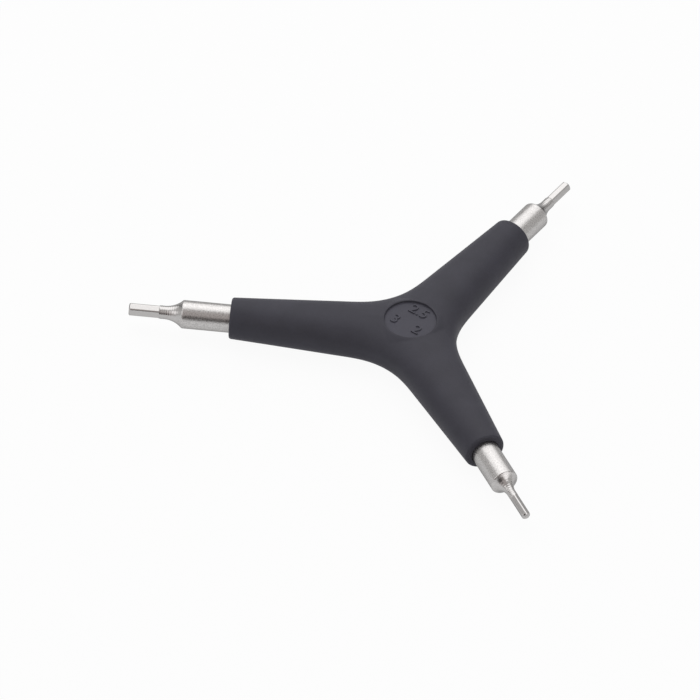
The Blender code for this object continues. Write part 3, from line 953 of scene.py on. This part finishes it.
def make_light(studio):
    """Large soft box above and a little behind the key."""
    lamp = bpy.data.lights.new("soft_box", "AREA")
    lamp.shape = "RECTANGLE"
    lamp.size = studio.box_width
    lamp.size_y = studio.box_depth
    lamp.spread = studio.box_spread
    lamp.energy = studio.box_power
    light = link(bpy.data.objects.new("soft_box", lamp))
    light.visible_camera = False
    light.matrix_world = (
        Matrix.Rotation(studio.box_turn, 4, "Z")
        @ Matrix.Rotation(-studio.box_lean, 4, "X")
        @ Matrix.Translation((0, 0, studio.box_distance))
    )
    return light


def make_world(studio):
    """Even white room: white to the eye and to mirrors, and plain ambient light on matt surfaces."""
    world = bpy.data.worlds.new("white_room")
    world.use_nodes = True
    tree = world.node_tree
    background = tree.nodes["Background"]
    background.inputs["Color"].default_value = (1, 1, 1, 1)
    seen = calculate(tree, "MAXIMUM", *ways_of_seeing(tree))
    level = remap(tree, seen, studio.ambient, 1.0)
    tree.links.new(level, background.inputs["Strength"])
    bpy.context.scene.world = world


def make_camera(studio):
    """Camera at the photograph's angle, aimed beside the hub."""
    azimuth, elevation = studio.camera_azimuth, studio.camera_elevation
    back = Vector((
        math.sin(azimuth) * math.cos(elevation),
        -math.cos(azimuth) * math.cos(elevation),
        math.sin(elevation),
    ))
    roll = Matrix.Rotation(-studio.camera_roll, 4, "Z")
    turn = back.to_track_quat("Z", "Y").to_matrix().to_4x4() @ roll
    hub = Matrix.Translation((0, 0, AXIS_HEIGHT))
    aim = Matrix.Translation((studio.aim_right, studio.aim_up, studio.camera_distance))
    lens = bpy.data.cameras.new("camera")
    lens.lens = studio.camera_lens
    lens.clip_end = SIGHT_DISTANCES * studio.camera_distance
    camera = link(bpy.data.objects.new("camera", lens))
    camera.matrix_world = hub @ turn @ aim
    bpy.context.scene.camera = camera


class HEXKEY_OT_make_grip(bpy.types.Operator):
    """Make the fine grip skin with its recess and size numbers, and dress it in rubber"""

    bl_idname = "hexkey.make_grip"
    bl_label = "Make Grip"

    def execute(self, context):
        grip, bits = context.scene.hex_key_grip, context.scene.hex_key_bits
        skin = grip_skin(grip, bits)
        tool = recess_tool(grip, skin)
        for number, arm_angle in zip(SIZE_NUMBERS, ARM_ANGLES):
            cut(tool, size_mark(grip, number, arm_angle))
        cut(skin, tool)
        weld(skin.data)
        shade(skin)
        skin.data.materials.clear()
        skin.data.materials.append(rubber_material(grip))
        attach(skin, BODY)
        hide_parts("grip")
        return {"FINISHED"}


class HEXKEY_OT_make_bits(bpy.types.Operator):
    """Make the three fine steel bits"""

    bl_idname = "hexkey.make_bits"
    bl_label = "Make Bits"

    def execute(self, context):
        bits = context.scene.hex_key_bits
        steel = steel_material(bits)
        for index, node in enumerate(BIT_NODES):
            bit = steel_bit(bits, index)
            shade(bit)
            bit.data.materials.append(steel)
            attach(bit, BODY)
            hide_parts(node)
        return {"FINISHED"}


class HEXKEY_OT_finish_core(bpy.types.Operator):
    """Dress the hard core in moulded plastic"""

    bl_idname = "hexkey.finish_core"
    bl_label = "Finish Core"

    def execute(self, context):
        core = frame["nodes"]["handle_core"]
        core.data.materials.clear()
        core.data.materials.append(core_material(context.scene.hex_key_core))
        return {"FINISHED"}


class HEXKEY_OT_make_stage(bpy.types.Operator):
    """Set up the white floor, soft light and camera"""

    bl_idname = "hexkey.make_stage"
    bl_label = "Make Stage"

    def execute(self, context):
        studio = context.scene.hex_key_studio
        make_floor(studio)
        [make_cloth(cloth) for cloth in CLOTHS]
        make_light(studio)
        make_world(studio)
        make_camera(studio)
        context.scene.view_settings.view_transform = "Standard"
        return {"FINISHED"}


class HEXKEY_PT_sidebar(bpy.types.Panel):
    """Sizes, finishes and operators of the hex key"""

    bl_idname = "HEXKEY_PT_sidebar"
    bl_label = "Hex Key"
    bl_space_type = "VIEW_3D"
    bl_region_type = "UI"
    bl_category = "Hex Key"

    def draw(self, context):
        for group_name, operator in STEPS:
            box = self.layout.box()
            group = getattr(context.scene, group_name)
            for name in type(group).__annotations__:
                box.prop(group, name)
            box.operator(operator)


# What each step takes its sizes from, in the order of making
STEPS = (
    ("hex_key_grip", "hexkey.make_grip"),
    ("hex_key_bits", "hexkey.make_bits"),
    ("hex_key_core", "hexkey.finish_core"),
    ("hex_key_studio", "hexkey.make_stage"),
)
GROUPS = (HexKeyGrip, HexKeyBits, HexKeyCore, HexKeyStudio)
OPERATORS = (HEXKEY_OT_make_grip, HEXKEY_OT_make_bits, HEXKEY_OT_finish_core, HEXKEY_OT_make_stage)


def register():
    """Add the classes, and a group of each kind to the scene."""
    for made in (*GROUPS, *OPERATORS, HEXKEY_PT_sidebar):
        bpy.utils.register_class(made)
    for (group_name, _), group in zip(STEPS, GROUPS):
        setattr(bpy.types.Scene, group_name, PointerProperty(type=group))


def unregister():
    """Take the groups and the classes away again."""
    for group_name, _ in STEPS:
        delattr(bpy.types.Scene, group_name)
    for made in reversed((*GROUPS, *OPERATORS, HEXKEY_PT_sidebar)):
        bpy.utils.unregister_class(made)


def main():
    """Make the whole key and its stage."""
    register()
    bpy.ops.hexkey.make_grip()
    bpy.ops.hexkey.make_bits()
    bpy.ops.hexkey.finish_core()
    bpy.ops.hexkey.make_stage()


if __name__ == "__main__":
    main()
